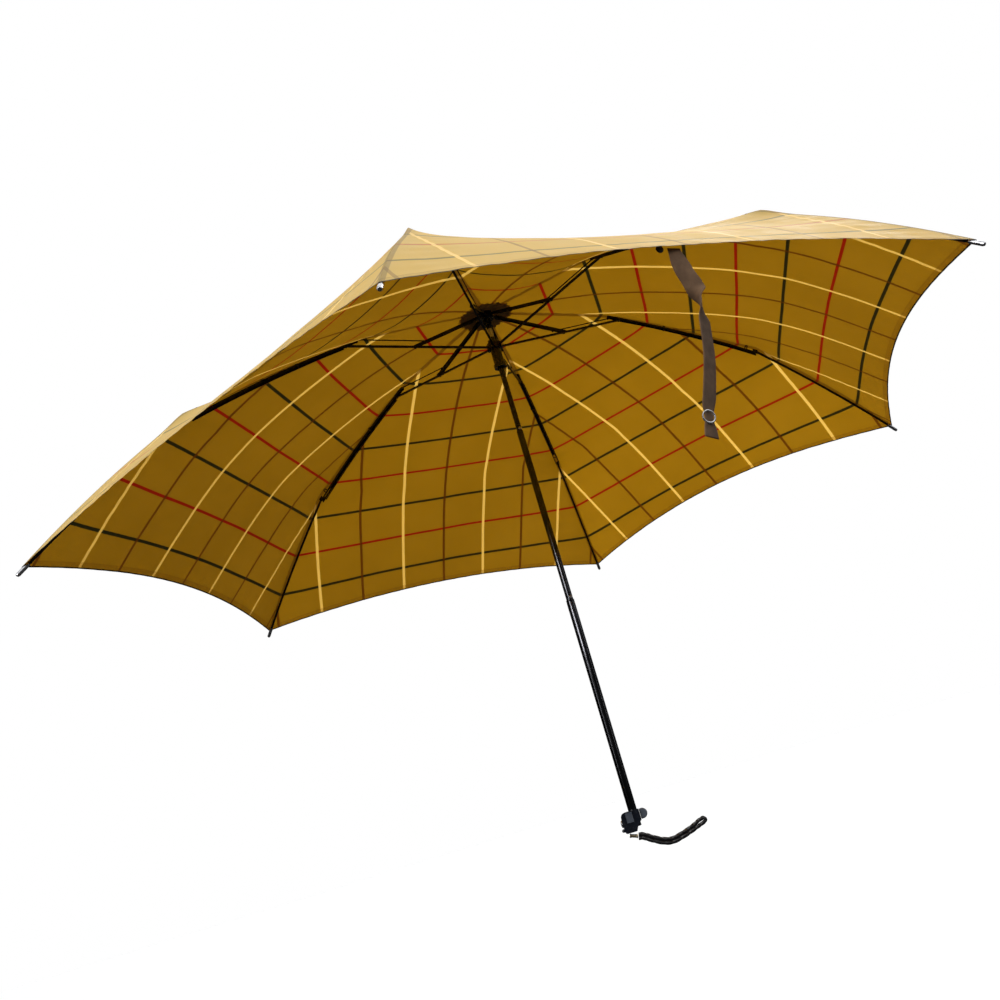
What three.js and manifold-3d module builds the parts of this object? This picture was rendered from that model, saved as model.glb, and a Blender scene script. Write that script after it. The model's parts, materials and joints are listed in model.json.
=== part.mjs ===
// Six-rib folding umbrella with a three-section shaft, open.
// Millimetres, +Z up the shaft. The origin is on the shaft axis at the lower end of the handle.
// Rib 1 points along +X and the others follow every 60 degrees, counter-clockwise from above.
import * as THREE from 'three';
import { mergeVertices } from 'three/addons/utils/BufferGeometryUtils.js';
import { ParametricGeometry } from 'three/addons/geometries/ParametricGeometry.js';
import Module from 'manifold-3d';

const wasm = await Module();
wasm.setup();

// ---- driving dimensions ----
const ribCount = 6;
const tipRadius = 480;          // rib tip, from the shaft axis
const tipHeight = 355;
const foldRadius = 327;         // pivot between middle and outer rib
const foldHeight = 478;
const elbowRadius = 160;        // pivot between stretcher and middle rib
const elbowHeight = 538;
const notchPivotRadius = 7;
const notchPivotHeight = 557;
const runnerPivotRadius = 7.5;
const runnerPivotHeight = 520;
const midPivotRadius = 87;      // where the top rib is pinned to the stretcher
const linkArm = 13;             // short arms of the inner link
const foldLift = 3.4;           // the fold pivot stands this far above the middle rib's line
const ribSag = 3;               // how far the middle and outer ribs bow

const ribWidth = 4.2;           // folded-steel channel
const ribWall = 0.5;
const ribTop = 2;               // channel's back, above its pivot line
const ribBottom = -0.8;
const forkLength = 28;          // top rib's end with its back cut away
const foldForkLength = 20;
const barWidth = 2.2;           // stretcher
const barHalfHeight = 1;
const eyeRadius = 1.2;
const wireRadius = 1.4;         // outer rib
const linkRadius = 0.5;
const layerGap = 0.3;           // side gap between pieces that lie against each other
const eyeWall = 1.6;            // channel beyond its last pivot
const tongueStart = 3.5;        // top rib's channel begins here, outside the notch
const tongueLap = 6;

const tubeGap = 0.2;            // between one section and the next
const lowerTube = { outer: 4.2, wall: 0.45, bottom: 4, top: 229 };
const middleTube = { outer: lowerTube.outer - lowerTube.wall - tubeGap, wall: 0.4, top: 418 };
const topTube = {
  outer: middleTube.outer - middleTube.wall - tubeGap, wall: 0.4, top: notchPivotHeight + 3,
};
const tubeLap = 18;             // how far each section stays inside the next
const buttonRadius = 1.8;
const buttonProud = 1.2;
const catchLength = 10;
const catchWidth = 2.4;
const catchBite = 1.05;         // how far the catch reaches under the runner's wall

const notchRadius = notchPivotRadius + 1.5;
const notchBelow = 3;           // notch body below and above the rib pivots
const notchAbove = 5;
const notchCollarRadius = 4.4;
const notchCollarLength = 8;
const tongueWidth = 1.6;

const runnerBottom = runnerPivotHeight - 26;
const runnerTop = runnerPivotHeight + 8;
const runnerBore = lowerTube.outer + 0.3;    // closed, the runner slides over the widest tube
const runnerRadius = runnerBore + 1.3;
const runnerHeadRadius = runnerPivotRadius + 1.1;
const runnerHeadHeight = 7;
const runnerFlangeRadius = runnerBore + 2.5;
const runnerFlangeHeight = 4;

const clothThickness = 0.8;
const clothLift = 3;            // canopy's inner face above the pivot lines
const capStud = topTube.outer - 0.35;
const crownHole = capStud + 0.6;
const crownGap = 1.6;           // cloth above the notch, at the shaft axis
const hemRise = 41;             // how far each hem is cut back at its middle, along the rib
const patchInner = notchRadius + 0.7;
const patchOuter = 26;

const tipOuter = 2;
const tipSocket = 6;
const tipLength = 14;

const capFlange = capStud + 5.4;
const capHeight = 7;

const handleTurn = -24.8;       // the handle's face, turned about the shaft, in degrees
const handleHeight = 19;
const handleHalfDepth = 6.5;
const boreClearance = 0.2;
const plate = { x: -4.6, z: 13.6, width: 6.6, height: 9.4, thick: 1.2, pocket: 0.6 };
const tab = { x: 5.9, z: 14, radius: 4.9, halfDepth: 3.5, reach: 2.1 };

const ferruleRadius = 1.9;
const ferruleLength = 7.8;
const cordRadius = 1.7;
const cordGap = 0.4;            // between the wrist loop's two runs

const strap = { width: 14, thick: 1, length: 150, inset: 4, side: -10, lean: 9 };
const ringRadius = 4.6;
const ringWire = 0.7;
const ringDrop = 15;            // ring's middle, above the strap's lower end

const deg = Math.PI / 180;

// ---- solids ----
function toSolid(geometry) {
  const bare = geometry.clone();
  for (const name of ['normal', 'uv']) bare.deleteAttribute(name);
  const merged = mergeVertices(bare, 1e-4);
  const solid = new wasm.Manifold(new wasm.Mesh({
    numProp: 3,
    vertProperties: new Float32Array(merged.attributes.position.array),
    triVerts: new Uint32Array(merged.index.array),
  }));
  return solid;
}

function toGeometry(solid) {
  const mesh = solid.getMesh();
  const geometry = new THREE.BufferGeometry();
  const points = [];
  for (let i = 0; i < mesh.numVert; i += 1) {
    points.push(...mesh.vertProperties.slice(i * mesh.numProp, i * mesh.numProp + 3));
  }
  geometry.setAttribute('position', new THREE.Float32BufferAttribute(points, 3));
  geometry.setIndex(Array.from(mesh.triVerts));
  geometry.computeVertexNormals();
  return geometry;
}

function build(first, added = [], removed = []) {
  let solid = toSolid(first);
  for (const geometry of added) solid = solid.add(toSolid(geometry));
  for (const geometry of removed) solid = solid.subtract(toSolid(geometry));
  return toGeometry(solid);
}

// A flat outline in X and Z, thickened along Y from y0 to y1.
function slab(points, y0, y1) {
  const shape = new THREE.Shape(points.map(([x, z]) => new THREE.Vector2(x, z)));
  const geometry = new THREE.ExtrudeGeometry(shape, { depth: y1 - y0, bevelEnabled: false });
  geometry.rotateX(90 * deg);
  geometry.translate(0, y1, 0);
  return geometry;
}

function box(x0, x1, y0, y1, z0, z1) {
  const geometry = new THREE.BoxGeometry(x1 - x0, y1 - y0, z1 - z0);
  geometry.translate((x0 + x1) / 2, (y0 + y1) / 2, (z0 + z1) / 2);
  return geometry;
}

// A round pin or eye across the rib, at x, z.
function eye(x, z, radius, y0, y1, sides = 12) {
  const geometry = new THREE.CylinderGeometry(radius, radius, y1 - y0, sides);
  geometry.translate(x, (y0 + y1) / 2, z);
  return geometry;
}

// Turned shape about Z from [radius, height] points.
function turned(points, sides = 24) {
  const geometry = new THREE.LatheGeometry(points.map(([r, z]) => new THREE.Vector2(r, z)), sides);
  geometry.rotateX(90 * deg);
  return geometry;
}

function ring(inner, outer, low, high, sides = 24) {
  return turned([[inner, low], [outer, low], [outer, high], [inner, high], [inner, low]], sides);
}

// The bow of a rib of a given length: 0 at its two pivots.
function bow(x, length, sag) {
  if (x < 0 || x > length) return 0;
  return 4 * sag * (x / length) * (1 - x / length);
}

// A strip that follows the bow, from x0 to x1 and from low to high about the pivot line.
function bowedSlab(x0, x1, low, high, y0, y1, length, sag, steps = 10) {
  const along = Array.from({ length: steps + 1 }, (unused, i) => x0 + (x1 - x0) * i / steps);
  const lower = along.map((x) => [x, bow(x, length, sag) + low]);
  const upper = along.map((x) => [x, bow(x, length, sag) + high]).reverse();
  return slab([...lower, ...upper], y0, y1);
}

// ---- the linkage at rest, in the rib's own plane ----
const notchPivot = new THREE.Vector2(notchPivotRadius, notchPivotHeight);
const runnerPivot = new THREE.Vector2(runnerPivotRadius, runnerPivotHeight);
const elbow = new THREE.Vector2(elbowRadius, elbowHeight);
const fold = new THREE.Vector2(foldRadius, foldHeight);
const tip = new THREE.Vector2(tipRadius, tipHeight);
const stretcherShare = (midPivotRadius - runnerPivotRadius) / (elbowRadius - runnerPivotRadius);
const midPivot = runnerPivot.clone().lerp(elbow, stretcherShare);

const topAngle = midPivot.clone().sub(notchPivot).angle();
const topLength = midPivot.distanceTo(notchPivot);
const stretcherAngle = elbow.clone().sub(runnerPivot).angle();
const stretcherLength = elbow.distanceTo(runnerPivot);
const midDistance = midPivot.distanceTo(runnerPivot);
const elbowToFold = fold.distanceTo(elbow);
const middleAngle = fold.clone().sub(elbow).angle() - Math.asin(foldLift / elbowToFold);
const middleLength = Math.sqrt(elbowToFold ** 2 - foldLift ** 2);
const outerAngle = tip.clone().sub(fold).angle();
const outerLength = tip.distanceTo(fold);
const endSlope = Math.atan(4 * ribSag / outerLength);     // how far the bow turns the rib at its tip
const direction = (angle) => new THREE.Vector2(Math.cos(angle), Math.sin(angle));
const innerLinkStart = midPivot.clone().addScaledVector(direction(topAngle), -linkArm);
const innerLinkEnd = elbow.clone().addScaledVector(direction(middleAngle), -linkArm);

// ---- rib pieces, each with its inner pivot at the origin and its line along +X ----
const half = ribWidth / 2;
const inside = half - ribWall;

function channel(x0, x1, length, sag, openFrom) {
  const outside = bowedSlab(x0, x1, ribBottom, ribTop, -half, half, length, sag);
  const inner = bowedSlab(x0 - 1, x1 + 1, ribBottom - 1, ribTop - ribWall, -inside, inside, length, sag);
  const noBack = box(openFrom, x1 + 1, -inside, inside, ribBottom - 5, ribTop + ribSag + 5);
  return { outside, removed: [inner, noBack] };
}

function topRibGeometry() {
  const end = topLength + eyeWall;
  const { outside, removed } = channel(tongueStart, end, topLength, 0, topLength - forkLength);
  const tongueEnd = tongueStart + tongueLap;
  const shell = build(outside, [], removed);
  const tongue = box(0, tongueEnd, -tongueWidth / 2, tongueWidth / 2, ribBottom, barHalfHeight);
  const web = box(tongueStart, tongueEnd, -inside - 0.1, inside + 0.1, ribTop - ribWall - 1, ribTop - 0.1);
  return build(shell, [tongue, web, eye(0, 0, eyeRadius, -tongueWidth / 2, tongueWidth / 2)]);
}

function stretcherGeometry() {
  const w = barWidth / 2;
  const bar = box(0, stretcherLength, -w, w, -barHalfHeight, barHalfHeight);
  const eyes = [0, midDistance, stretcherLength].map((x) => eye(x, 0, eyeRadius, -w, w));
  return build(bar, eyes);
}

function middleRibGeometry() {
  const end = middleLength + eyeWall;
  const { outside, removed } = channel(-linkArm - eyeWall, end, middleLength, ribSag,
    middleLength - foldForkLength);
  const lift = [-half, inside].map((y) => box(middleLength - 5, end, y, y + ribWall, 0, foldLift + eyeWall));
  return build(outside, lift, removed);
}

function outerRibGeometry() {
  const w = barWidth / 2;
  const path = new THREE.QuadraticBezierCurve3(
    new THREE.Vector3(0, 0, 0),
    new THREE.Vector3(outerLength / 2, 0, 2 * ribSag),
    new THREE.Vector3(outerLength, 0, 0),
  );
  const section = new THREE.Shape();
  section.absarc(0, 0, wireRadius, 0, 2 * Math.PI);
  const wire = new THREE.ExtrudeGeometry(section, { steps: 14, curveSegments: 4, extrudePath: path });
  return build(wire, [eye(0, 0, eyeRadius + 0.2, -w, w)]);
}

function tipGeometry() {
  const socket = wireRadius + boreClearance;
  const open = -tipSocket;
  const end = tipLength - tipSocket;
  const geometry = turned([
    [0, layerGap], [socket, layerGap], [socket, open], [tipOuter - 0.2, open], [tipOuter, open + 0.6],
    [tipOuter, end - 2], [tipOuter * 0.7, end - 0.6], [0, end],
  ], 12);
  geometry.rotateY(90 * deg);
  return geometry;
}

function innerLinkGeometry() {
  const length = innerLinkEnd.distanceTo(innerLinkStart);
  const y0 = half + layerGap;
  const y1 = y0 + 2 * linkRadius;
  const bar = box(-length, 0, y0, y1, -linkRadius, linkRadius);
  return build(bar, [eye(0, 0, eyeRadius, y0, y1), eye(-length, 0, eyeRadius, y0, y1)]);
}

function outerLinkGeometry() {
  const y1 = -half - layerGap;
  const y0 = y1 - 2 * linkRadius;
  const from = 3;
  const to = middleLength - 4;
  return bowedSlab(from, to, ribBottom - 0.6, ribBottom + 0.4, y0, y1, middleLength, ribSag);
}

// ---- shaft ----
function tubeGeometry({ outer, wall, bottom, top }) {
  return ring(outer - wall, outer, bottom, top, 28);
}

function topTubeGeometry() {
  const tube = tubeGeometry({ ...topTube, bottom: middleTube.top - tubeLap });
  const slot = box(0, topTube.outer + 1, -catchWidth / 2 - layerGap, catchWidth / 2 + layerGap,
    runnerBottom - catchLength - 2 * layerGap, runnerBottom);
  return build(tube, [], [slot, buttonHole(middleTube.top, topTube.outer)]);
}

function middleTubeGeometry() {
  const tube = tubeGeometry({ ...middleTube, bottom: lowerTube.top - tubeLap });
  return build(tube, [], [buttonHole(lowerTube.top, middleTube.outer)]);
}

function buttonHole(rim, radius) {
  const hole = new THREE.CylinderGeometry(buttonRadius + layerGap, buttonRadius + layerGap, radius * 2, 16);
  hole.translate(0, -radius - 1, 0);
  hole.translate(0, 0, rim + buttonRadius + layerGap);
  return hole;
}

// A round spring button that stands out of a tube just above the rim of the next tube.
function buttonGeometry(rim, { outer, wall }) {
  const back = outer - wall + 0.1;
  const face = outer + buttonProud;
  const geometry = new THREE.LatheGeometry([
    [0, back], [buttonRadius, back], [buttonRadius, face - 0.4], [buttonRadius - 0.5, face], [0, face],
  ].map(([r, z]) => new THREE.Vector2(r, z)), 16);
  geometry.rotateX(180 * deg);
  geometry.translate(0, 0, rim + buttonRadius + layerGap);
  return geometry;
}

// Spring wedge that holds the runner up: square on top, sloping away below.
function catchGeometry() {
  const top = runnerBottom - layerGap;
  const bottom = top - catchLength;
  const back = topTube.outer - topTube.wall - 0.6;
  const nose = runnerBore + catchBite;
  return slab([[back, bottom], [back + 1, bottom], [nose, top - 2], [nose, top], [back, top]],
    -catchWidth / 2, catchWidth / 2);
}

function notchGeometry() {
  const low = notchPivotHeight - notchBelow;
  const high = notchPivotHeight + notchAbove;
  const bore = topTube.outer + boreClearance;
  const body = ring(bore, notchRadius, low, high, 36);
  const collar = ring(bore, notchCollarRadius, low - notchCollarLength, low + 1, 36);
  const slots = [];
  for (let i = 0; i < ribCount; i += 1) {
    const slot = box(notchPivotRadius - eyeRadius - layerGap, notchRadius + 1,
      -tongueWidth / 2 - layerGap, tongueWidth / 2 + layerGap, low - 1, high - 1.5);
    slot.rotateZ(i * 360 / ribCount * deg);
    slots.push(slot);
  }
  return build(body, [collar], slots);
}

function runnerGeometry() {
  const headLow = runnerPivotHeight - runnerHeadHeight / 2;
  const headHigh = runnerPivotHeight + runnerHeadHeight / 2;
  const sleeve = ring(runnerBore, runnerRadius, runnerBottom, runnerTop, 36);
  const head = ring(runnerBore + 0.2, runnerHeadRadius, headLow, headHigh, 36);
  const flange = ring(runnerBore + 0.2, runnerFlangeRadius, runnerBottom,
    runnerBottom + runnerFlangeHeight, 36);
  const slots = [];
  for (let i = 0; i < ribCount; i += 1) {
    const slot = box(runnerPivotRadius - eyeRadius - layerGap, runnerHeadRadius + 1,
      -barWidth / 2 - layerGap, barWidth / 2 + layerGap, headLow - 1, headHigh + 1);
    slot.rotateZ(i * 360 / ribCount * deg);
    slots.push(slot);
  }
  return build(sleeve, [head, flange], slots);
}

function capGeometry() {
  const studLow = notchPivotHeight + notchAbove + layerGap;
  const seat = crownHeight() + clothThickness + 2 * layerGap;
  return turned([
    [0, studLow], [capStud, studLow], [capStud, seat], [capFlange, seat], [capFlange, seat + 1],
    [capFlange - 2, seat + 2.4], [capFlange - 4, seat + capHeight - 1.2], [capFlange - 6, seat + capHeight],
    [0, seat + capHeight + 0.2],
  ], 24);
}

// ---- canopy ----
function crownHeight() {
  return notchPivotHeight + notchAbove + crownGap;
}

// Inner face of the cloth along a rib: crown, above the elbow, above the fold, tip.
function ribLine() {
  const up = (point, angle, lift) => point.clone().addScaledVector(direction(angle + 90 * deg), lift);
  const crown = new THREE.Vector2(0, crownHeight());
  const shoulder = up(innerLinkEnd, middleAngle, clothLift);
  const overFold = up(fold, (middleAngle + outerAngle) / 2, clothLift);
  const end = up(tip, outerAngle, tipOuter + layerGap);
  return { crown, shoulder, overFold, end };
}

// A point of the rib line: span 0 to 2 is crown, middle or outer, and share runs 0 to 1 along it.
function alongSpan(span, share) {
  const { crown, shoulder, overFold, end } = ribLine();
  const corners = [crown, shoulder, overFold, end];
  const length = corners[span].distanceTo(corners[span + 1]);
  const point = corners[span].clone().lerp(corners[span + 1], share);
  if (span > 0) point.y += bow(share * length, length, ribSag);
  return point;
}

// Between two ribs the cloth runs straight across. Its hem is cut back in an arc.
function clothPoint(span, share, around, lift) {
  const { crown, shoulder, overFold, end } = ribLine();
  const panel = Math.floor(around * ribCount + 1e-9);
  const across = around * ribCount - panel;
  const cutBack = hemRise / overFold.distanceTo(end) * 4 * across * (1 - across);
  const start = crownHole / crown.distanceTo(shoulder);
  const shares = [start + share * (1 - start), share, share * (1 - cutBack)];
  const point = alongSpan(span, shares[span]);
  const ends = [panel, panel + 1].map((i) => {
    const angle = i * 360 / ribCount * deg;
    return new THREE.Vector3(point.x * Math.cos(angle), point.x * Math.sin(angle), point.y + lift);
  });
  return ends[0].lerp(ends[1], across);
}

function canopyGeometry() {
  const stepsPerSpan = [3, 5, 6];
  const rows = [[0, 0]];
  stepsPerSpan.forEach((count, span) => {
    for (let i = 1; i <= count; i += 1) rows.push([span, i / count]);
  });
  const aroundSteps = ribCount * 6;
  const loop = 2 * rows.length;
  const surface = (u, v, target) => {
    const step = (loop - Math.round(u * loop)) % loop;
    const outer = step >= rows.length;
    const [span, share] = rows[outer ? loop - 1 - step : step];
    const around = (Math.round(v * aroundSteps) % aroundSteps) / aroundSteps;
    target.copy(clothPoint(span, share, around, outer ? clothThickness : 0));
  };
  return build(new ParametricGeometry(surface, loop, aroundSteps));
}

function patchGeometry() {
  const under = layerGap + 0.5;
  const { crown, shoulder } = ribLine();
  const fall = (r) => alongSpan(0, r / crown.distanceTo(shoulder)).y - under;
  return turned([
    [patchInner, fall(patchInner) - 0.5], [patchOuter, fall(patchOuter) - 1.2],
    [patchOuter, fall(patchOuter) - 0.7], [patchInner, fall(patchInner)],
    [patchInner, fall(patchInner) - 0.5],
  ], 36);
}

// ---- handle ----
function handleOutline() {
  const outline = new THREE.Shape();
  outline.moveTo(-10.5, 0);
  outline.lineTo(-1, 0);
  outline.quadraticCurveTo(1.2, 5.5, 5.6, 8.6);
  outline.lineTo(5.6, handleHeight);
  outline.lineTo(-8, handleHeight);
  outline.quadraticCurveTo(-12.6, handleHeight, -12.6, 14);
  outline.lineTo(-12.4, 3);
  outline.quadraticCurveTo(-12.2, 0.4, -10.5, 0);
  return outline.getPoints(6).slice(0, -1).map((p) => [p.x, p.y]);
}

function handleGeometry() {
  const body = slab(handleOutline(), -handleHalfDepth, handleHalfDepth);
  const boreRadius = lowerTube.outer + boreClearance;
  const boreFloor = lowerTube.bottom - layerGap;
  const bore = turned([[0, boreFloor], [boreRadius, boreFloor], [boreRadius, handleHeight + 1],
    [0, handleHeight + 1]], 28);
  const pocket = box(plate.x - plate.width / 2 - layerGap, plate.x + plate.width / 2 + layerGap,
    -handleHalfDepth - 1, -handleHalfDepth + plate.pocket,
    plate.z - plate.height / 2 - layerGap, plate.z + plate.height / 2 + layerGap);
  return build(body, [], [bore, pocket]);
}

function plateGeometry() {
  const back = -handleHalfDepth + plate.pocket - layerGap;
  const outer = box(plate.x - plate.width / 2, plate.x + plate.width / 2, back - plate.thick, back,
    plate.z - plate.height / 2, plate.z + plate.height / 2);
  const inset = box(plate.x - plate.width / 2 + 0.7, plate.x + plate.width / 2 - 0.7,
    back - plate.thick - 1, back - plate.thick + 0.3,
    plate.z - plate.height / 2 + 0.7, plate.z + plate.height / 2 - 0.7);
  return build(outer, [], [inset]);
}

function tabGeometry() {
  const points = [[tab.x, tab.z + tab.radius]];
  for (let a = 75; a >= -75; a -= 25) {
    const angle = a * deg;
    points.push([tab.x + tab.reach + tab.radius * Math.cos(angle), tab.z + tab.radius * Math.sin(angle)]);
  }
  points.push([tab.x, tab.z - tab.radius]);
  return slab(points.reverse(), -tab.halfDepth, tab.halfDepth);
}

// ---- wrist loop ----
// The loop's middle line, from the ferrule outwards, in the handle's own X and Z.
const loopLine = [
  [-1.4, -4.7], [4, -6.4], [10.2, -10.3], [19.8, -15.2], [28.3, -16.9],
  [38.4, -15.1], [48.5, -12.2], [55.2, -9.7], [61.2, -7.6],
];

function loopRun(side) {
  const middle = new THREE.CatmullRomCurve3(loopLine.map(([x, z]) => new THREE.Vector3(x, 0, z)));
  const points = [];
  const count = 14;
  for (let i = 0; i <= count; i += 1) {
    const share = i / count;
    const point = middle.getPointAt(share);
    const along = middle.getTangentAt(share);
    const swell = 1 + 0.7 * Math.exp(-(((share - 0.93) / 0.09) ** 2));
    const off = side * (cordRadius + cordGap / 2) * swell;
    points.push(new THREE.Vector3(point.x - along.z * off, 0, point.z + along.x * off));
  }
  return points;
}

function cordGeometry() {
  const out = loopRun(1);
  const back = loopRun(-1).reverse();
  const end = out[out.length - 1].clone().lerp(back[0], 0.5);
  const before = out[out.length - 3].clone().lerp(back[2], 0.5);
  const turn = end.clone().addScaledVector(end.clone().sub(before).normalize(), cordRadius * 1.7);
  const path = new THREE.CatmullRomCurve3([...out, turn, ...back]);
  const section = new THREE.Shape();
  section.absarc(0, 0, cordRadius, 0, 2 * Math.PI);
  const geometry = new THREE.ExtrudeGeometry(section, { steps: 60, curveSegments: 4, extrudePath: path });
  return build(geometry);
}

function ferruleGeometry() {
  const w = ferruleRadius;
  const geometry = turned([[0, 0], [w, 0], [w, 1.2], [w - 0.3, 1.5], [w - 0.3, ferruleLength - 1.5],
    [w, ferruleLength - 1.2], [w, ferruleLength], [0, ferruleLength]], 16);
  const [x, z] = loopLine[0];
  const slope = Math.atan2(loopLine[1][1] - z, loopLine[1][0] - x);
  geometry.rotateY(90 * deg);
  geometry.translate(-ferruleLength - layerGap - 0.2, 0, 0);
  geometry.scale(1, 1.9, 1);
  geometry.rotateY(-slope);
  geometry.translate(x, 0, z);
  return geometry;
}

// ---- closing strap, sewn to the hem between ribs 5 and 6 ----
// Radius of its outer face and height of its top edge, just under the cloth inside the hem.
function strapSeat() {
  const hem = clothPoint(2, 1, 0.5 / ribCount, 0);
  const hemRadius = Math.hypot(hem.x, hem.y);
  const { overFold, end } = ribLine();
  const slope = (overFold.y - end.y) / (end.x - overFold.x) / Math.cos(Math.PI / ribCount);
  return { radius: hemRadius - strap.inset, top: hem.z + strap.inset * slope - layerGap };
}

// The strap and its ring hang with their lower end swung towards -X.
function swung(geometry) {
  const { radius, top } = strapSeat();
  geometry.translate(0, 0, -top);
  geometry.rotateY(strap.lean * deg);
  geometry.translate(0, 0, top - strap.width / 2 * Math.sin(strap.lean * deg));
  geometry.translate(strap.side, -radius, 0);
  return geometry;
}

function strapGeometry() {
  const { width, thick, length } = strap;
  const { top } = strapSeat();
  return swung(box(-width / 2, width / 2, 0, thick, top - length, top));
}

function strapRingGeometry() {
  const { top } = strapSeat();
  const geometry = new THREE.TorusGeometry(ringRadius, ringWire, 8, 24);
  geometry.rotateX(90 * deg);
  geometry.translate(0, -ringWire - layerGap, top - strap.length + ringDrop);
  return swung(geometry);
}

// ---- materials ----
const paint = (colour, roughness, metalness) => (
  new THREE.MeshStandardMaterial({ color: colour, roughness, metalness }));
const blackSteel = paint(0x16161a, 0.38, 0.7);
const shaftSteel = paint(0x2a2b2f, 0.25, 0.9);
const blackPlastic = paint(0x101218, 0.35, 0.0);
const cloth = paint(0xb58a1c, 0.85, 0.0);
const brownCloth = paint(0x5a3a20, 0.9, 0.0);
const strapCloth = paint(0x7a5a3c, 0.85, 0.0);
const brightSteel = paint(0xb9bbc0, 0.25, 1.0);
const greyPlastic = paint(0x4a5360, 0.45, 0.0);
const brass = paint(0xc9b27a, 0.3, 1.0);
const leather = paint(0x0c0c0e, 0.5, 0.0);

// ---- assembly ----
const umbrella = new THREE.Group();

function place(parent, name, geometry, material, x = 0, z = 0, angle = 0) {
  const mesh = new THREE.Mesh(geometry, material);
  mesh.name = name;
  mesh.position.set(x, 0, z);
  mesh.rotation.y = -angle;
  parent.add(mesh);
}

function addRib(index) {
  const rib = new THREE.Group();
  rib.rotation.z = index * 360 / ribCount * deg;
  const n = index + 1;
  const linkAngle = innerLinkEnd.clone().sub(innerLinkStart).angle();
  place(rib, `top_rib_${n}`, topRibGeometry(), blackSteel, notchPivot.x, notchPivot.y, topAngle);
  place(rib, `stretcher_${n}`, stretcherGeometry(), blackSteel, runnerPivot.x, runnerPivot.y, stretcherAngle);
  place(rib, `middle_rib_${n}`, middleRibGeometry(), blackSteel, elbow.x, elbow.y, middleAngle);
  place(rib, `inner_link_${n}`, innerLinkGeometry(), blackSteel, innerLinkEnd.x, innerLinkEnd.y, linkAngle);
  place(rib, `outer_link_${n}`, outerLinkGeometry(), shaftSteel, elbow.x, elbow.y, middleAngle);
  place(rib, `outer_rib_${n}`, outerRibGeometry(), blackSteel, fold.x, fold.y, outerAngle);
  place(rib, `rib_tip_${n}`, tipGeometry(), brightSteel, tip.x, tip.y, outerAngle - endSlope);
  umbrella.add(rib);
}

function addShaft() {
  place(umbrella, 'lower_tube', tubeGeometry(lowerTube), shaftSteel);
  place(umbrella, 'middle_tube', middleTubeGeometry(), shaftSteel);
  place(umbrella, 'top_tube', topTubeGeometry(), blackSteel);
  place(umbrella, 'lower_button', buttonGeometry(lowerTube.top, middleTube), brightSteel);
  place(umbrella, 'upper_button', buttonGeometry(middleTube.top, topTube), brightSteel);
  place(umbrella, 'runner', runnerGeometry(), blackPlastic);
  place(umbrella, 'runner_catch', catchGeometry(), brightSteel);
  place(umbrella, 'top_notch', notchGeometry(), blackPlastic);
  place(umbrella, 'ferrule_cap', capGeometry(), blackPlastic);
}

function addCloth() {
  place(umbrella, 'canopy', canopyGeometry(), cloth);
  place(umbrella, 'crown_patch', patchGeometry(), brownCloth);
  place(umbrella, 'strap', strapGeometry(), strapCloth);
  place(umbrella, 'strap_ring', strapRingGeometry(), brightSteel);
}

function addHandle() {
  const handle = new THREE.Group();
  handle.rotation.z = handleTurn * deg;
  place(handle, 'handle_body', handleGeometry(), blackPlastic);
  place(handle, 'face_plate', plateGeometry(), greyPlastic);
  place(handle, 'side_tab', tabGeometry(), greyPlastic);
  place(handle, 'cord_ferrule', ferruleGeometry(), brass);
  place(handle, 'wrist_cord', cordGeometry(), leather);
  umbrella.add(handle);
}

for (let i = 0; i < ribCount; i += 1) addRib(i);
addShaft();
addCloth();
addHandle();

export default umbrella;
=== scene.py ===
# A six-rib folding umbrella, held open: handle and wrist loop, three-section shaft, runner and
# notch, jointed steel ribs, a checked cloth canopy, and the strap that ties it when it is shut.
import json
import math

import bmesh
import bpy
from mathutils import Matrix, Vector, noise

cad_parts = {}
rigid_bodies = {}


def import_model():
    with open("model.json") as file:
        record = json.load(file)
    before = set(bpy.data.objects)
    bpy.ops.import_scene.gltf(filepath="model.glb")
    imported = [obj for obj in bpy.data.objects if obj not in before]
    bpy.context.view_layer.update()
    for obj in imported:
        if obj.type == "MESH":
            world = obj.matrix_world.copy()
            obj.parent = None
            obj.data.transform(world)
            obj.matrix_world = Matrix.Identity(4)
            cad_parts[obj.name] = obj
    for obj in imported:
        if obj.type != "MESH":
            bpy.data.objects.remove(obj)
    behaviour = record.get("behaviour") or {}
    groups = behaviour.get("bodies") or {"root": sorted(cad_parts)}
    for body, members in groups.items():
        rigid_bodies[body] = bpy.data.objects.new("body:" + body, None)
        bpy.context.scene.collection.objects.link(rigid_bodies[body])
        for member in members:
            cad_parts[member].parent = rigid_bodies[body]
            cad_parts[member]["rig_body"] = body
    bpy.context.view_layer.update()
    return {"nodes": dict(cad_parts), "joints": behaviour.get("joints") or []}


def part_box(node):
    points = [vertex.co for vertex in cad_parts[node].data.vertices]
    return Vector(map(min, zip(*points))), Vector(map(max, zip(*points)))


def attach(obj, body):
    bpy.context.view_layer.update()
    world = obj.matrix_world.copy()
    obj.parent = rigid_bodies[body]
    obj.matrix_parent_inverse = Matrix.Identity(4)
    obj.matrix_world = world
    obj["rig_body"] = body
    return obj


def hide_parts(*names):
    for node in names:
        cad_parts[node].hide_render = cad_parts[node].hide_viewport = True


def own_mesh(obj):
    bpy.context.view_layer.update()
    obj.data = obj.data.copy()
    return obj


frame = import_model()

mm = 0.001

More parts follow.
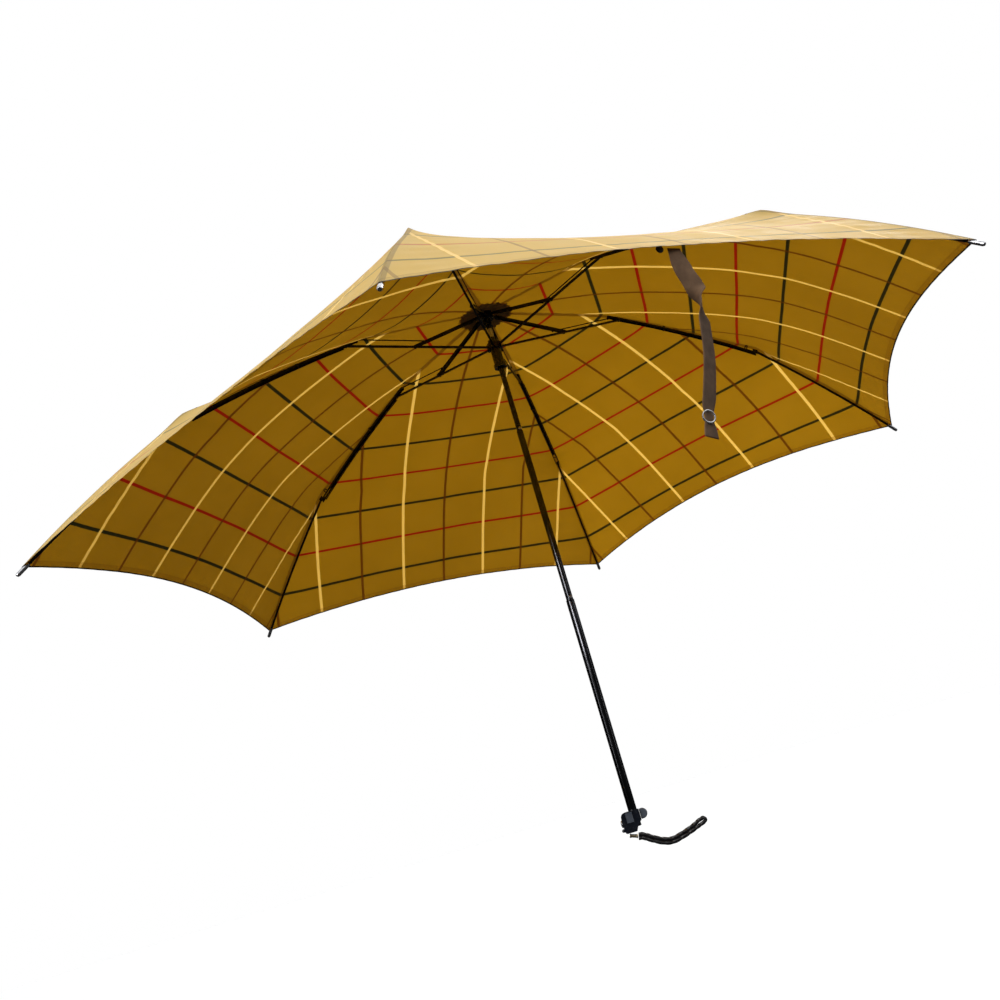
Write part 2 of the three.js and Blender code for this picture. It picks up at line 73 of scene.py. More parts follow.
# ---- camera ----
# Below the canopy and behind the handle, looking up into the ribs. The object leans in the view.
camera_turn, camera_tilt, camera_roll = math.radians(-24.83), math.radians(-16.99), math.radians(-16.98)
camera_back = Vector((
    math.sin(camera_turn) * math.cos(camera_tilt),
    -math.cos(camera_turn) * math.cos(camera_tilt),
    math.sin(camera_tilt),
))
level = Vector((0, 0, 1)).cross(camera_back).normalized()
rise = camera_back.cross(level)
camera_right = math.cos(camera_roll) * level + math.sin(camera_roll) * rise
camera_up = math.cos(camera_roll) * rise - math.sin(camera_roll) * level
camera_data = bpy.data.cameras.new("camera")
camera_data.lens = 36.9
camera_data.sensor_width = 36.0
camera_data.shift_x = -0.0594
camera_data.shift_y = -0.0187
camera = bpy.data.objects.new("camera", camera_data)
bpy.context.scene.collection.objects.link(camera)
camera.matrix_world = Matrix((camera_right, camera_up, camera_back)).transposed().to_4x4()
view_middle = Vector((0, 0, 0.355))      # at the height of the rib tips
view_side, view_rise, view_distance = 0.0245, 0.0043, 1.0694
camera.location = (view_middle + view_side * camera_right + view_rise * camera_up
                   + view_distance * camera_back)
bpy.context.scene.camera = camera


# ---- wrist loop ----
# Leather cord laid from three strands, pulled through the ferrule under the handle and doubled into
# a loop. Its two runs lie against each other and part a little round the eye at the far end.
handle_turn = Matrix.Rotation(math.radians(-24.8), 4, "Z")
loop_line = [
    (-1.4, -4.7), (4, -6.4), (10.2, -10.3), (19.8, -15.2), (28.3, -16.9),
    (38.4, -15.1), (48.5, -12.2), (55.2, -9.7), (61.2, -7.6),
]
cord_radius = 1.9 * mm
strand_turns = 7                         # that the strands make over the cord's whole length


def node_of(tree, kind, inputs=(), **settings):
    """A shader node with its settings, its sockets set to values or joined to other sockets."""
    node = tree.nodes.new(kind)
    for name, value in settings.items():
        setattr(node, name, value)
    for key, value in dict(inputs).items():
        if isinstance(value, bpy.types.NodeSocket):
            tree.links.new(value, node.inputs[key])
        else:
            node.inputs[key].default_value = value
    return node


def maths(tree, operation, *values):
    """The result of one sum on sockets or numbers."""
    return node_of(tree, "ShaderNodeMath", enumerate(values), operation=operation).outputs[0]


def grain(tree, place, scale, detail=3.0, stretch=(1, 1, 1)):
    """Fractal noise from 0 to 1, stretched along the piece's own axes."""
    mapping = node_of(tree, "ShaderNodeMapping", {"Vector": place, "Scale": stretch})
    field = node_of(tree, "ShaderNodeTexNoise",
                    {"Vector": mapping.outputs[0], "Scale": scale, "Detail": detail})
    return field.outputs["Fac"]


def between(tree, share, first, second):
    """A colour between two colours or colour sockets."""
    mix = node_of(tree, "ShaderNodeMix", {0: share, 6: first, 7: second}, data_type="RGBA")
    return mix.outputs[2]


def ranged(tree, value, low, high, start=0.3, end=0.7):
    """A value of noise brought from start..end to low..high."""
    scaled = node_of(tree, "ShaderNodeMapRange", {
        "Value": value, "From Min": start, "From Max": end, "To Min": low, "To Max": high,
    })
    return scaled.outputs[0]


def new_material(name):
    """An empty node material with its Principled shader, and the piece's own coordinates."""
    made = bpy.data.materials.new(name)
    made.use_nodes = True
    tree = made.node_tree
    place = node_of(tree, "ShaderNodeTexCoord").outputs["Object"]
    return made, tree, tree.nodes["Principled BSDF"], place


def relief(tree, shader, height, distance, strength=1.0):
    """Raises the surface by a height from 0 to 1."""
    bump = node_of(tree, "ShaderNodeBump", {"Height": height, "Distance": distance, "Strength": strength})
    tree.links.new(bump.outputs[0], shader.inputs["Normal"])


def wrapped(around, along, place, closed=True):
    """A grid of faces put where place(u, v) says. Closed, its first and last columns are joined."""
    bm = bmesh.new()
    bmesh.ops.create_grid(bm, x_segments=around, y_segments=along, size=0.5)
    uv = bm.loops.layers.uv.new("UVMap")
    for face in bm.faces:
        for loop in face.loops:
            loop[uv].uv = (loop.vert.co.x + 0.5, loop.vert.co.y + 0.5)
    for vert in bm.verts:
        vert.co = place(vert.co.x + 0.5, vert.co.y + 0.5)
    if closed:
        bmesh.ops.remove_doubles(bm, verts=bm.verts, dist=0.002 * mm)
    return bm


def closed_ends(bm):
    """Fills the open ends of a tube and turns every face outwards."""
    bmesh.ops.holes_fill(bm, edges=[e for e in bm.edges if e.is_boundary])
    bmesh.ops.recalc_face_normals(bm, faces=bm.faces)
    return bm


def piece(bm, name, material, body):
    """Makes the mesh an object with its finish, and sets it on its body."""
    mesh = bpy.data.meshes.new(name)
    bm.to_mesh(mesh)
    bm.free()
    mesh.shade_smooth()
    mesh.materials.append(material)
    made = bpy.data.objects.new(name, mesh)
    bpy.context.scene.collection.objects.link(made)
    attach(made, body)
    return made


def laid_leather():
    made, tree, shader, place = new_material("laid_leather")
    worn = ranged(tree, grain(tree, place, 900.0), 0.0, 1.0)
    colour = between(tree, worn, (0.004, 0.004, 0.005, 1), (0.014, 0.013, 0.014, 1))
    tree.links.new(colour, shader.inputs["Base Color"])
    tree.links.new(ranged(tree, grain(tree, place, 2200.0), 0.2, 0.42), shader.inputs["Roughness"])
    relief(tree, shader, grain(tree, place, 3000.0), 0.05 * mm)
    return made


def smooth_line(points, steps):
    """A Catmull-Rom line through the points, with a number of steps to each."""
    line = []
    for i in range(len(points) - 1):
        a, b, c, d = (points[min(max(k, 0), len(points) - 1)] for k in (i - 1, i, i + 1, i + 2))
        for k in range(steps):
            t = k / steps
            line.append(0.5 * (2 * b + (c - a) * t + (2 * a - 5 * b + 4 * c - d) * t * t
                               + (3 * b - a - 3 * c + d) * t ** 3))
    return line + [points[-1]]


def loop_run(side):
    """One run of the loop, beside its middle line, in the handle's own X and Z."""
    points = smooth_line([Vector((x * mm, 0, z * mm)) for x, z in loop_line], 4)
    steps = [0.0]
    for before, after in zip(points, points[1:]):
        steps.append(steps[-1] + (after - before).length)
    run = []
    for i, point in enumerate(points):
        along = (points[min(i + 1, len(points) - 1)] - points[max(i - 1, 0)]).normalized()
        share = steps[i] / steps[-1]
        swell = 1 + 0.18 * math.exp(-(((share - 0.95) / 0.05) ** 2))
        off = side * cord_radius * 0.9 * swell
        run.append(point + off * Vector((-along.z, 0, along.x)))
    return run


def loop_points():
    """The cord's whole line: out, round the eye and back."""
    out, back = loop_run(1), loop_run(-1)[::-1]
    end = (out[-1] + back[0]) / 2
    aside = out[-1] - end
    onward = (end - (out[-2] + back[1]) / 2).normalized() * aside.length
    eye = [end + math.cos(math.pi * k / 6) * aside + math.sin(math.pi * k / 6) * onward for k in range(1, 6)]
    return [handle_turn @ p for p in out + eye + back]


def laid_tube(line, radius, flat, turns, name, body):
    """A cord of three strands along a line that never runs along flat."""
    count = len(line) - 1
    along = [(line[min(i + 1, count)] - line[max(i - 1, 0)]).normalized() for i in range(count + 1)]

    def place(u, v):
        i = round(v * count)
        angle = math.tau * u
        strands = abs(math.cos(1.5 * (angle + turns * math.tau * v)))
        reach = radius * (0.78 + 0.22 * strands)
        across = flat.cross(along[i]).normalized()
        upright = along[i].cross(across)
        return line[i] + reach * (math.cos(angle) * upright + math.sin(angle) * across)

    bm = closed_ends(wrapped(48, count, place))
    return piece(bm, name, laid_leather(), body)


cord_line = smooth_line(loop_points(), 5)
cord_length = sum((b - a).length for a, b in zip(cord_line, cord_line[1:]))
wrist_cord = laid_tube(cord_line, cord_radius, handle_turn @ Vector((0, 1, 0)), strand_turns, "wrist_loop",
                       "handle")
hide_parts("wrist_cord")
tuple(cord_line[0])


# ---- handle ----
# Glossy blue-black moulding about two fingers wide. A textured plate is let into its front, a
# satin tab is set in one side, and a bright stud and a small knob are pressed into the other.
def moulded(name, dark, light, rough, coat, gloss=0.5):
    """Injection-moulded plastic: faint flow marks, fine bump and dulled patches from handling."""
    made, tree, shader, place = new_material(name)
    flow = grain(tree, place, 60.0, stretch=(1, 1, 0.4))
    tree.links.new(between(tree, ranged(tree, flow, 0.0, 1.0), dark, light), shader.inputs["Base Color"])
    tree.links.new(ranged(tree, grain(tree, place, 260.0), rough, rough + 0.16), shader.inputs["Roughness"])
    shader.inputs["Specular IOR Level"].default_value = gloss
    shader.inputs["Coat Weight"].default_value = coat
    shader.inputs["Coat Roughness"].default_value = 0.12
    relief(tree, shader, grain(tree, place, 1800.0), 0.02 * mm)
    return made


def plated(name, dark, light, rough, stretch=(1, 1, 1)):
    """Bright or dark plated metal with hairline polishing marks and faint tarnish."""
    made, tree, shader, place = new_material(name)
    shader.inputs["Metallic"].default_value = 1.0
    tarnish = ranged(tree, grain(tree, place, 45.0), 0.0, 1.0)
    tree.links.new(between(tree, tarnish, dark, light), shader.inputs["Base Color"])
    lines = grain(tree, place, 1400.0, stretch=stretch)
    tree.links.new(ranged(tree, lines, rough, rough + 0.14), shader.inputs["Roughness"])
    relief(tree, shader, lines, 0.003 * mm)
    return made


black_plastic = moulded("black_moulding", (0.003, 0.0045, 0.009, 1), (0.008, 0.011, 0.02, 1), 0.16, 0.35)
grey_plastic = moulded("grey_moulding", (0.05, 0.062, 0.085, 1), (0.085, 0.1, 0.13, 1), 0.3, 0.1)
nickel = plated("nickel", (0.42, 0.42, 0.44, 1), (0.62, 0.62, 0.64, 1), 0.2)
pale_gold = plated("pale_gold", (0.62, 0.48, 0.26, 1), (0.85, 0.72, 0.48, 1), 0.2)


def merged_copy(node):
    """The CAD node's surface as one closed mesh, its flat faces whole again."""
    bm = bmesh.new()
    bm.from_mesh(frame["nodes"][node].data)
    bmesh.ops.remove_doubles(bm, verts=bm.verts, dist=0.001 * mm)
    bmesh.ops.dissolve_limit(bm, angle_limit=math.radians(0.5), verts=bm.verts, edges=bm.edges)
    return bm


def eased(node, material, width, segments=2):
    """A CAD node's own shape with its edges rolled over, as folding or moulding leaves them."""
    made = piece(merged_copy(node), node + "_eased", material, frame["nodes"][node]["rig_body"])
    edge = made.modifiers.new("edge", "BEVEL")
    edge.width = width
    edge.segments = segments
    edge.limit_method = "ANGLE"
    edge.angle_limit = math.radians(32)
    made.modifiers.new("shading", "WEIGHTED_NORMAL").keep_sharp = True
    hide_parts(node)


def spun(profile, steps, turn=None, move=None):
    """A turned shape from (radius, height) points that start and end on the axis or meet."""
    bm = bmesh.new()
    verts = [bm.verts.new((r, 0, z)) for r, z in profile]
    edges = [bm.edges.new(pair) for pair in zip(verts, verts[1:])]
    if profile[0][0] > 0:
        edges.append(bm.edges.new((verts[-1], verts[0])))
    bmesh.ops.spin(bm, geom=verts + edges, cent=(0, 0, 0), axis=(0, 0, 1), dvec=(0, 0, 0),
                   angle=math.tau, steps=steps, use_merge=True)
    bmesh.ops.remove_doubles(bm, verts=bm.verts, dist=0.001 * mm)
    bmesh.ops.recalc_face_normals(bm, faces=bm.faces)
    if turn is not None:
        bmesh.ops.transform(bm, matrix=turn, verts=bm.verts)
    if move is not None:
        bmesh.ops.translate(bm, vec=move, verts=bm.verts)
    return bm


def joined(parts):
    """Several meshes as one."""
    whole = parts[0]
    for part in parts[1:]:
        spare = bpy.data.meshes.new("spare")
        part.to_mesh(spare)
        part.free()
        whole.from_mesh(spare)
        bpy.data.meshes.remove(spare)
    return whole


def domed(radius, height):
    """Profile of a round head: flat below, rounded above."""
    curve = [(radius * math.cos(a), height * (0.45 + 0.55 * math.sin(a)))
             for a in (math.radians(k * 15) for k in range(7))]
    return [(0, 0), (radius, 0)] + curve[:-1] + [(0, height)]


eased("handle_body", black_plastic, 1.6 * mm, 4)
eased("side_tab", grey_plastic, 1.2 * mm, 4)
eased("face_plate", grey_plastic, 0.3 * mm, 2)
eased("cord_ferrule", pale_gold, 0.35 * mm, 3)

side_turn = Matrix.Rotation(math.radians(-90), 4, "Y")
stud_place = handle_turn @ Vector((-12.5, 0, 9.5)) * mm
stud = spun(domed(3.4 * mm, 1.9 * mm), 32, handle_turn @ side_turn, stud_place)
piece(stud, "handle_stud", nickel, "handle")
knob_place = handle_turn @ Vector((-12.2, 0, 3.4)) * mm
knob = spun(domed(1.6 * mm, 3.0 * mm), 24, handle_turn @ side_turn, knob_place)
piece(knob, "handle_knob", black_plastic, "handle")

plate_rib_count = 9
plate_rib_size = (4.8 * mm, 0.3 * mm, 0.42 * mm)


def plate_texture():
    """Rows of fine ribs moulded in the plate's recess."""
    low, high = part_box("face_plate")
    parts = []
    for k in range(plate_rib_count):
        bm = bmesh.new()
        bmesh.ops.create_cube(bm, size=1.0)
        bmesh.ops.scale(bm, vec=plate_rib_size, verts=bm.verts)
        bmesh.ops.bevel(bm, geom=list(bm.edges), offset=0.1 * mm, affect="EDGES", segments=2,
                        profile=0.5, material=-1)
        height = low.z + (high.z - low.z) * (k + 1.5) / (plate_rib_count + 2)
        in_recess = handle_turn @ Matrix.Translation((-4.6 * mm, -7.05 * mm, height))
        bmesh.ops.transform(bm, matrix=in_recess, verts=bm.verts)
        parts.append(bm)
    return joined(parts)


piece(plate_texture(), "plate_ribs", grey_plastic, "handle")


# ---- shaft ----
# Three plated steel tubes that slide into each other. Each has two pressed grooves that keep it from
# turning, and a rim rolled in at its upper end, where a sprung button stands out of the next tube.
gunmetal = plated("gunmetal", (0.05, 0.051, 0.056, 1), (0.10, 0.10, 0.11, 1), 0.1, (1, 1, 0.02))
groove_depth = 0.16 * mm
groove_spread = 7.0                      # in degrees round the tube
rim_height = 3.2 * mm
tube_wall = 0.42 * mm
window_gap = 0.15 * mm                   # round the piece that moves in a window


def tube(node, material, groove_turns, windows=()):
    """A drawn tube. A window is (node that moves in it, way it faces, 2 if round or 8 if square)."""
    low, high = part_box(node)
    outer = (high.x - low.x) / 2
    rolled = high.z - rim_height
    rows = [low.z, low.z + 0.4 * mm, rolled, rolled + 0.5 * mm, high.z - 0.6 * mm, high.z - 0.2 * mm, high.z]
    for inside, _, _ in windows:
        first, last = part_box(inside)[0].z - 0.8 * mm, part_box(inside)[1].z + 0.8 * mm
        rows += [first + (last - first) * k / 20 for k in range(21)]
    rows.sort()

    def reach(z):
        if z < low.z + 0.3 * mm or z > high.z - 0.1 * mm:
            return outer - 0.12 * mm
        return outer - 0.1 * mm if rolled + 0.4 * mm < z < high.z - 0.5 * mm else outer

    profile = [(reach(z), z) for z in rows] + [(outer - tube_wall, z) for z in reversed(rows)]
    bm = spun(profile, 96)
    for vert in bm.verts:
        flat = Vector((vert.co.x, vert.co.y))
        inside_wall = flat.length < outer - tube_wall + 0.05 * mm
        if inside_wall or not low.z + mm < vert.co.z < rolled + 0.1 * mm:
            continue
        angle = math.degrees(math.atan2(flat.y, flat.x))
        for groove in groove_turns:
            apart = (angle - groove + 180) % 360 - 180
            depth = groove_depth * math.exp(-(apart / groove_spread) ** 2)
            vert.co.x -= depth * flat.x / flat.length
            vert.co.y -= depth * flat.y / flat.length
    for inside, facing, squareness in windows:
        window_cut(bm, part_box(inside), facing, squareness, outer)
    made = piece(bm, node + "_drawn", material, frame["nodes"][node]["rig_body"])
    made.data.set_sharp_from_angle(angle=math.radians(50))
    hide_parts(node)


def window_cut(bm, box, facing, squareness, outer):
    """Opens a hole through the tube's wall, a little larger than the piece that moves in it."""
    low, high = box
    middle = (low.z + high.z) / 2
    half_height = (high.z - low.z) / 2 + window_gap
    half_width = min(high.x - low.x, high.y - low.y) / 2 if squareness > 2 else (high.z - low.z) / 2
    half_width += window_gap

    def from_middle(co):
        turn = (math.atan2(co.y, co.x) - math.radians(facing) + math.pi) % math.tau - math.pi
        across, up = turn * outer, co.z - middle
        size = (abs(across / half_width) ** squareness
                + abs(up / half_height) ** squareness) ** (1 / squareness)
        return across, up, size

    gone = [f for f in bm.faces if from_middle(f.calc_center_median())[2] < 1]
    bmesh.ops.delete(bm, geom=gone, context="FACES")
    rim = [e for e in bm.edges if e.is_boundary]
    for vert in {v for e in rim for v in e.verts}:
        across, up, size = from_middle(vert.co)
        turn = math.radians(facing) + across / size / outer
        out = Vector((vert.co.x, vert.co.y)).length
        vert.co = Vector((out * math.cos(turn), out * math.sin(turn), middle + up / size))
    bmesh.ops.bridge_loops(bm, edges=rim)
    bmesh.ops.recalc_face_normals(bm, faces=bm.faces)


bare_above_runner = 5 * mm
bare_length = 10 * mm


def rubbed_lacquer():
    """Black lacquer, rubbed through to bright steel where the runner's collar works against the tube."""
    made, tree, shader, place = new_material("rubbed_lacquer")
    height = node_of(tree, "ShaderNodeSeparateXYZ", {"Vector": place}).outputs[2]
    ragged = maths(tree, "ADD", height, maths(tree, "MULTIPLY", grain(tree, place, 300.0), 3 * mm))
    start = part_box("runner")[1].z + bare_above_runner
    above = maths(tree, "GREATER_THAN", ragged, start)
    below = maths(tree, "LESS_THAN", ragged, start + bare_length)
    bare = maths(tree, "MULTIPLY", above, below)
    worn = ranged(tree, grain(tree, place, 200.0), 0.0, 1.0)
    lacquer = between(tree, worn, (0.006, 0.006, 0.007, 1), (0.018, 0.018, 0.019, 1))
    tree.links.new(between(tree, bare, lacquer, (0.62, 0.64, 0.68, 1)), shader.inputs["Base Color"])
    tree.links.new(maths(tree, "MULTIPLY", bare, 0.35), shader.inputs["Metallic"])
    shader.inputs["Coat Weight"].default_value = 0.3
    drawn = grain(tree, place, 1400.0, stretch=(1, 1, 0.05))
    tree.links.new(ranged(tree, drawn, 0.2, 0.36), shader.inputs["Roughness"])
    return made


tube("lower_tube", gunmetal, (-150, -90, -30, 90))
tube("middle_tube", gunmetal, (-150, -30, 90), [("lower_button", -90, 2)])
tube("top_tube", rubbed_lacquer(), (90,), [("upper_button", -90, 2), ("runner_catch", 0, 8)])
for button in ("lower_button", "upper_button"):
    eased(button, nickel, 0.3 * mm, 3)
eased("runner_catch", nickel, 0.2 * mm)


# ---- notch, runner and cap ----
# Black nylon mouldings. The notch is pinned to the top of the shaft and holds the top ribs, the
# runner slides below it and holds the stretchers, and a loop of wire threads each one's rib ends.
eased("top_notch", black_plastic, 0.35 * mm)
eased("runner", black_plastic, 0.35 * mm)
eased("ferrule_cap", black_plastic, 0.3 * mm)
black_steel = moulded("lacquered_steel", (0.003, 0.003, 0.0035, 1), (0.010, 0.009, 0.0085, 1), 0.3, 0.05, 0.3)
dark_wire = plated("dark_wire", (0.012, 0.011, 0.011, 1), (0.035, 0.033, 0.032, 1), 0.34)


def joint_place(name):
    """Where a rib joint is, in the plane of rib 1: its radius and height."""
    joint = next(j for j in frame["joints"] if j["name"] == name)
    return Vector((joint["pos_m"][0], 0, joint["pos_m"][2]))


def wire_ring(radius, height, wire, name, body):
    """The binding wire that runs through the rib ends."""
    def place(u, v):
        out = radius + wire * math.cos(math.tau * u)
        return Vector((out * math.cos(math.tau * v), out * math.sin(math.tau * v),
                       height + wire * math.sin(math.tau * u)))

    bm = wrapped(10, 96, place)
    bmesh.ops.recalc_face_normals(bm, faces=bm.faces)
    return piece(bm, name, nickel, body)


notch_pin = joint_place("top_rib_hinge_1")
runner_pin = joint_place("stretcher_hinge_1")
binding_wire = 0.45 * mm                 # radius
wire_ring(notch_pin.x, notch_pin.z, binding_wire, "notch_wire", "top_tube")
wire_ring(runner_pin.x, runner_pin.z, binding_wire, "runner_wire", "runner")


# ---- ribs ----
# Each rib is a folding linkage of lacquered spring steel: a top rib and a middle rib folded from
# strip into a channel, a solid stretcher, two pull wires, and a round outer rib with a nickel tip.
rib_count = 6
elbow = joint_place("middle_rib_hinge_1")
link_pin = joint_place("inner_link_hinge_1")
fold = joint_place("outer_rib_hinge_1")
rib_turns = [Matrix.Rotation(math.tau * i / rib_count, 4, "Z") for i in range(rib_count)]


def rivet(place, turn, half_width):
    """A pin across the rib with a domed head on each side."""
    parts = []
    for side in (1, -1):
        head = spun(domed(1.25 * mm, 0.55 * mm), 14, Matrix.Rotation(math.radians(-90 * side), 4, "X"))
        bmesh.ops.translate(head, vec=place + Vector((0, side * half_width, 0)), verts=head.verts)
        bmesh.ops.transform(head, matrix=turn, verts=head.verts)
        parts.append(head)
    return joined(parts)


def thread_tie(place, lean, turn):
    """A few turns of thread that hold the cloth's seam to the rib."""
    parts = []
    for k in range(3):
        def ring(u, v, shift=(k - 1) * 0.55 * mm):
            thick = 0.3 * mm
            side = math.cos(math.tau * v)
            height = math.sin(math.tau * v)
            out = 1 + thick / (3 * mm) * math.cos(math.tau * u)
            return Vector((shift + thick * math.sin(math.tau * u), 2.7 * mm * side * out,
                           2.9 * mm * height * out + 1.2 * mm))

        bm = wrapped(6, 24, ring)
        bmesh.ops.recalc_face_normals(bm, faces=bm.faces)
        bmesh.ops.transform(bm, matrix=turn @ Matrix.Translation(place) @ Matrix.Rotation(-lean, 4, "Y"),
                            verts=bm.verts)
        parts.append(bm)
    return joined(parts)


thread = moulded("thread", (0.05, 0.035, 0.015, 1), (0.1, 0.07, 0.03, 1), 0.7, 0.0)
stretcher_line = (elbow - runner_pin).normalized()
mid_pin_radius = 0.087                   # from the shaft, of the pin that joins stretcher and top rib
mid_pin = runner_pin + stretcher_line * ((mid_pin_radius - runner_pin.x) / stretcher_line.x)
middle_line = (fold - elbow).normalized()
middle_lean = math.atan2(middle_line.z, middle_line.x)
rivet_reach = 2.15 * mm                  # of each rivet head from the middle of the rib
for i, turn in enumerate(rib_turns):
    n = i + 1
    for node in ("top_rib", "stretcher", "middle_rib", "inner_link", "outer_rib"):
        eased(f"{node}_{n}", black_steel, 0.16 * mm)
    eased(f"outer_link_{n}", dark_wire, 0.2 * mm)
    eased(f"rib_tip_{n}", nickel, 0.3 * mm)
    pins = joined([rivet(mid_pin, turn, rivet_reach), rivet(elbow, turn, rivet_reach)])
    piece(pins, f"stretcher_rivets_{n}", black_steel, f"stretcher_{n}")
    pins = joined([rivet(fold, turn, rivet_reach), rivet(link_pin, turn, rivet_reach)])
    piece(pins, f"middle_rib_rivets_{n}", black_steel, f"middle_rib_{n}")
    ties = [thread_tie(elbow.lerp(fold, share) + Vector((0, 0, 1.5 * mm)), middle_lean, turn)
            for share in (0.32, 0.93)]
    piece(joined(ties), f"thread_ties_{n}", thread, f"middle_rib_{n}")


# ---- canopy ---- Six panels of thin woven polyester, sewn along the ribs and hemmed in an arc
# between them.
cloth_low, cloth_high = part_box("canopy")
cloth_thickness = 0.12 * mm
cloth_lift = 3 * mm
crown_hole = 3.3 * mm
cut_back = (33, 23, 25, 41, 41, 31)      # how far each panel's hem is cut in at its middle, in mm
hem_follow = 0.5                         # how far the check's lines keep to the hem's arc
check_across = 52 * mm                   # between one line and the next
check_down = 57 * mm
tips_to_first_line = 46 * mm            # from the straight line between two tips
panel_sag = (2, 2, 3, 17, 17, 7)         # of each panel's middle line, below the ribs beside it, in mm

cloth_crown = Vector((0, 0, cloth_high.z - 0.8 * mm))
rib_normal = Vector((-middle_line.z, 0, middle_line.x))
cloth_shoulder = link_pin + rib_normal * cloth_lift
rib_end = Vector((cloth_high.x, 0, cloth_low.z))
outer_line = (rib_end - fold).normalized()
fold_normal = (rib_normal + Vector((-outer_line.z, 0, outer_line.x))).normalized()
cloth_fold = fold + fold_normal * cloth_lift
rib_corners = [cloth_crown, cloth_shoulder, cloth_fold, rib_end]
span_lengths = [(b - a).length for a, b in zip(rib_corners, rib_corners[1:])]
rib_bow = (0, 3 * mm, 6 * mm)
knuckle = 3 * mm                       # how far the fold's joint pushes the cloth out
knuckle_spread = 22 * mm
rows_per_span = (30, 36, 40)
columns = 84
tighten_rounds = 420


def on_rib(span, share):
    """A point of the cloth's line over rib 1."""
    point = rib_corners[span].lerp(rib_corners[span + 1], share)
    point.z += 4 * rib_bow[span] * share * (1 - share)
    from_fold = (1 - share) * span_lengths[1] if span == 1 else share * span_lengths[2] if span == 2 else 1
    return point + fold_normal * knuckle * math.exp(-(from_fold / knuckle_spread) ** 2)


def panel_turns(panel):
    return rib_turns[panel], rib_turns[(panel + 1) % rib_count]


def span_of(v):
    """The span and the share along it for a place from crown to hem."""
    row = v * sum(rows_per_span)
    span = 0
    while span < 2 and row > rows_per_span[span] + 1e-6:
        row -= rows_per_span[span]
        span += 1
    return span, row / rows_per_span[span]


def cut_share(panel, u, v):
    """The same, with the hole at the crown left open and the hem cut back in its arc."""
    span, share = span_of(v)
    if span == 0:
        start = crown_hole / span_lengths[0]
        share = start + share * (1 - start)
    if span == 2:
        share *= 1 - cut_back[panel] * mm / span_lengths[2] * 4 * u * (1 - u)
    return span, share


def panel_point(panel, u, v):
    """Across from rib to rib with a little sag, before the cloth is drawn tight."""
    point = on_rib(*cut_share(panel, u, v))
    first, second = panel_turns(panel)
    place = (first @ point).lerp(second @ point, u)
    place.z -= panel_sag[panel] * mm * 4 * u * (1 - u) * math.sin(math.pi * v) ** 1.8
    return place


panel_spans = [math.hypot((b - a).x * math.cos(math.pi / rib_count), (b - a).z)
               for a, b in zip(rib_corners, rib_corners[1:])]


def flat_place(panel, u, v):
    """Where that point lies in the flat cut panel: sideways from its middle line, and up from its tips."""
    span, share = cut_share(panel, u, v)
    width = on_rib(span, share).x
    if span == 2:
        share += hem_follow * (span_of(v)[1] - share)
    down = sum(panel_spans[:span]) + share * panel_spans[span]
    return (2 * u - 1) * width / 2, sum(panel_spans) - down


def edge_place(panel, u, v):
    """How far that point is from the nearer seam and from the hem."""
    span, share = cut_share(panel, u, v)
    width = on_rib(span, share).x
    last = cut_share(panel, u, 1.0)[1]
    down = sum(panel_spans[span:2]) + (last * panel_spans[2]) - share * panel_spans[span]
    return min(u, 1 - u) * width, down


def tightened(bm, rounds):
    """Lets the cloth between its seams and hem pull itself smooth, as a stretched skin does."""
    inner = [v for v in bm.verts if not v.is_boundary]
    for _ in range(rounds):
        bmesh.ops.smooth_vert(bm, verts=inner, factor=0.5, use_axis_x=True, use_axis_y=True, use_axis_z=True)


def crinkled(bm, panel):
    """Slack creases, puckers beside the seams, and the ripple that stitching leaves along the hem."""
    bm.normal_update()
    uv = bm.loops.layers.uv.active
    for vert in bm.verts:
        u, v = vert.link_loops[0][uv].uv
        seam = min(1.0, u * columns / 5, (1 - u) * columns / 5)
        spot = vert.co * 9 + Vector((panel * 3.1, 0, 0))
        slack = 0.9 * mm * noise.noise(spot) + 0.35 * mm * noise.noise(vert.co * 34)
        ripple = 0.2 * mm * math.sin(u * 150 + 3 * noise.noise(spot)) * max(0.0, (v - 0.9) / 0.1)
        pucker = 0.4 * mm * math.sin(v * 160 + panel) * (1 - min(1.0, 6 * min(u, 1 - u)))
        vert.co += vert.normal * seam * (slack + ripple + pucker)


def panel_mesh(panel):
    bm = wrapped(columns, sum(rows_per_span), lambda u, v: panel_point(panel, u, v), closed=False)
    tightened(bm, tighten_rounds)
    crinkled(bm, panel)
    edges = bm.loops.layers.uv.new("edges")
    uv = bm.loops.layers.uv["UVMap"]
    for face in bm.faces:
        for loop in face.loops:
            loop[edges].uv = edge_place(panel, *loop[uv].uv)
            loop[uv].uv = flat_place(panel, *loop[uv].uv)
    if sum(f.normal.z for f in bm.faces) < 0:
        bmesh.ops.reverse_faces(bm, faces=bm.faces)
    return bm


def kept_side(bm, place, normal):
    """Cuts the mesh with a plane and keeps what lies on the side the normal points to."""
    bmesh.ops.bisect_plane(bm, geom=list(bm.verts) + list(bm.edges) + list(bm.faces), dist=0.0005 * mm,
                           plane_co=place, plane_no=normal, clear_inner=True)


def soft_step(tree, edge, value, thread=0.35 * mm):
    """1 below an edge and 0 above it, soft over about one thread."""
    below = maths(tree, "DIVIDE", maths(tree, "SUBTRACT", edge, value), thread)
    return node_of(tree, "ShaderNodeClamp", {"Value": maths(tree, "ADD", below, 0.5)}).outputs[0]


def line_mask(tree, value, period, offset, width):
    """1 on lines a period apart and 0 between them."""
    nearest = maths(tree, "PINGPONG", maths(tree, "SUBTRACT", value, offset), period / 2)
    return soft_step(tree, width / 2, nearest)


def layered(tree, ground, layers):
    """Colours laid over a ground one after another, each where its mask and strength say."""
    colour = ground
    for mask, strength, over in layers:
        colour = between(tree, maths(tree, "MULTIPLY", mask, strength), colour, over)
    return colour


